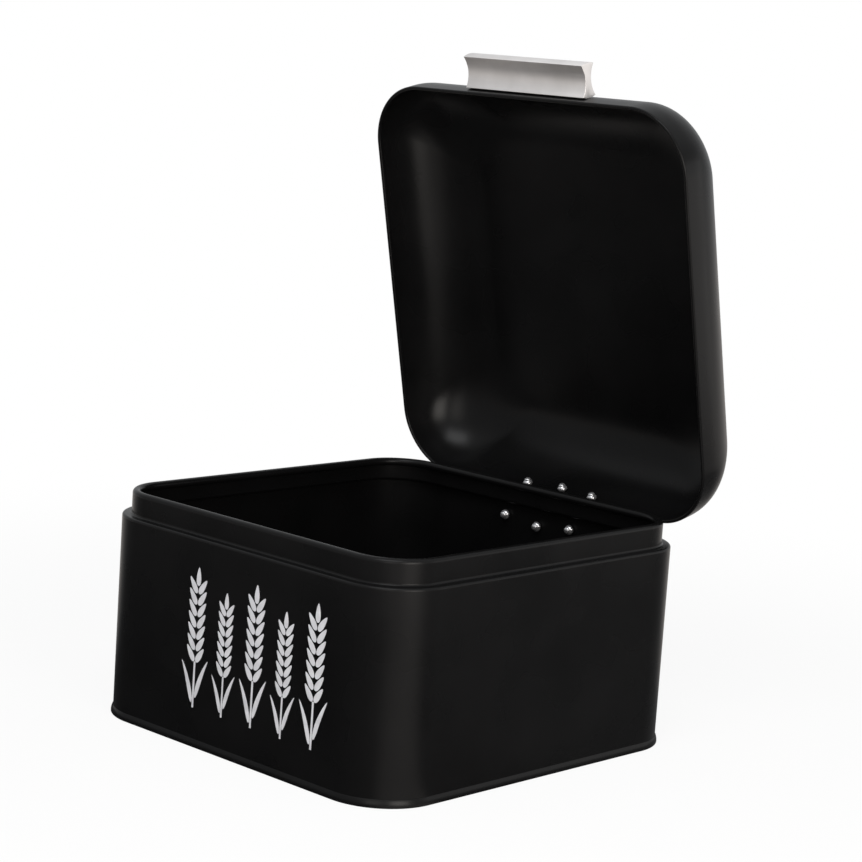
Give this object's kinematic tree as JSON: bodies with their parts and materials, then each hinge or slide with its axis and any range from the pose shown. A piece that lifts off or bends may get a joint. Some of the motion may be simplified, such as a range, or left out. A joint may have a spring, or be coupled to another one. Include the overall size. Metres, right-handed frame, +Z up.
{
  "type": "bread box",
  "caption": "Square painted steel bread box with a stepped neck, a deep domed lid on a wide rear hinge, and a waisted aluminium pull.",
  "frame": {"origin": "the point on the ground under the middle of the part's outer box, with the lid open as at rest; the box's own footprint is centred 30.2 mm further forward, at Y = -30.2 mm", "axes": "+X to the right along the front, parallel to the hinge pin; +Y to the back, where the hinge is; +Z up"},
  "size_m": [0.303, 0.3706, 0.4834],
  "materials": {
    "paint": "satin black powder coat",
    "steel": "zinc plated, bright",
    "aluminium": "satin anodised"
  },
  "bodies": {
    "box": {"base_wall": "paint", "base_floor": "paint", "hinge_leaf_base": "steel", "hinge_pin": "steel", "rivet_base_left": "steel", "rivet_base_middle": "steel", "rivet_base_right": "steel", "mandrel_base_left": "steel", "mandrel_base_middle": "steel", "mandrel_base_right": "steel"},
    "lid": {"lid_shell": "paint", "hinge_leaf_lid": "steel", "handle": "aluminium", "handle_screw_left": "steel", "handle_screw_right": "steel", "rivet_lid_left": "steel", "rivet_lid_middle": "steel", "rivet_lid_right": "steel", "mandrel_lid_left": "steel", "mandrel_lid_middle": "steel", "mandrel_lid_right": "steel"}
  },
  "joints": [
    {"name": "lid_hinge", "type": "hinge", "parent": "box", "child": "lid", "pos_m": [0, 0.13304, 0.1442], "axis": [1, 0, 0], "range_deg": [0, 77.1]}
  ]
}
